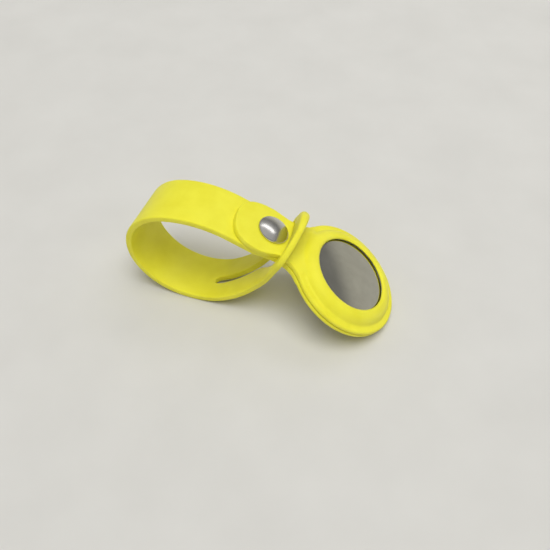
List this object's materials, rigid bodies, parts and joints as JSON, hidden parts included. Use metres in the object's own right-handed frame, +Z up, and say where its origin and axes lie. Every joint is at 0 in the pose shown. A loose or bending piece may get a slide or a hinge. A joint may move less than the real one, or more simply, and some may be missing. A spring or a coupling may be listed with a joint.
{
  "type": "tracker tag holder",
  "caption": "Soft loop holder for a coin-shaped tracker: a round two-skin pocket with a snap flap and a slotted strap threaded over its neck.",
  "frame": {"origin": "centre of the bounding box in plan, on the floor the loop and the ring rest on", "axes": "+X along the object from the loop to the ring, +Y across the strap to the far side, +Z up"},
  "size_m": [0.0856, 0.0386, 0.0366],
  "materials": {
    "silicone": "matte",
    "snap_metal": "polished",
    "spring_steel": "satin",
    "mirror_steel": "mirror polished",
    "white_plastic": "gloss",
    "frame_plastic": "satin",
    "board": "satin",
    "tin_plate": "satin",
    "copper": "satin",
    "nickel": "satin",
    "cell_steel": "brushed",
    "gasket": "matte"
  },
  "bodies": {
    "holder": {"rear_cover": "silicone", "front_cover": "silicone", "strap": "silicone", "snap_stud": "snap_metal", "snap_eyelet": "snap_metal"},
    "flap": {"snap_flap": "silicone", "snap_cap": "snap_metal", "snap_socket": "snap_metal", "snap_spring": "spring_steel"},
    "tag": {"tag_shell": "white_plastic", "tag_tray": "white_plastic", "circuit_board": "board", "antenna_frame": "frame_plastic", "shield_can": "tin_plate", "speaker_magnet": "nickel", "speaker_yoke": "tin_plate", "voice_coil": "copper", "cell_can": "cell_steel", "cell_gasket": "gasket", "cell_cap": "cell_steel", "contact_negative": "tin_plate", "contact_positive_left": "tin_plate", "contact_positive_right": "tin_plate"},
    "battery_cover": {"cover_disc": "mirror_steel", "bayonet_ring": "white_plastic"}
  },
  "joints": [
    {"name": "flap_open", "type": "hinge", "parent": "holder", "child": "flap", "pos_m": [0.00834, 0, 0.02712], "axis": [0, 1, 0], "range_deg": [0, 32]},
    {"name": "tag_spin", "type": "hinge", "parent": "holder", "child": "tag", "pos_m": [0.02657, 0, 0.01225], "axis": [0.5783, 0, 0.8159], "continuous": true},
    {"name": "cover_twist", "type": "hinge", "parent": "tag", "child": "battery_cover", "pos_m": [0.02801, 0, 0.01429], "axis": [0.5783, 0, 0.8159], "range_deg": [0, 20]}
  ]
}
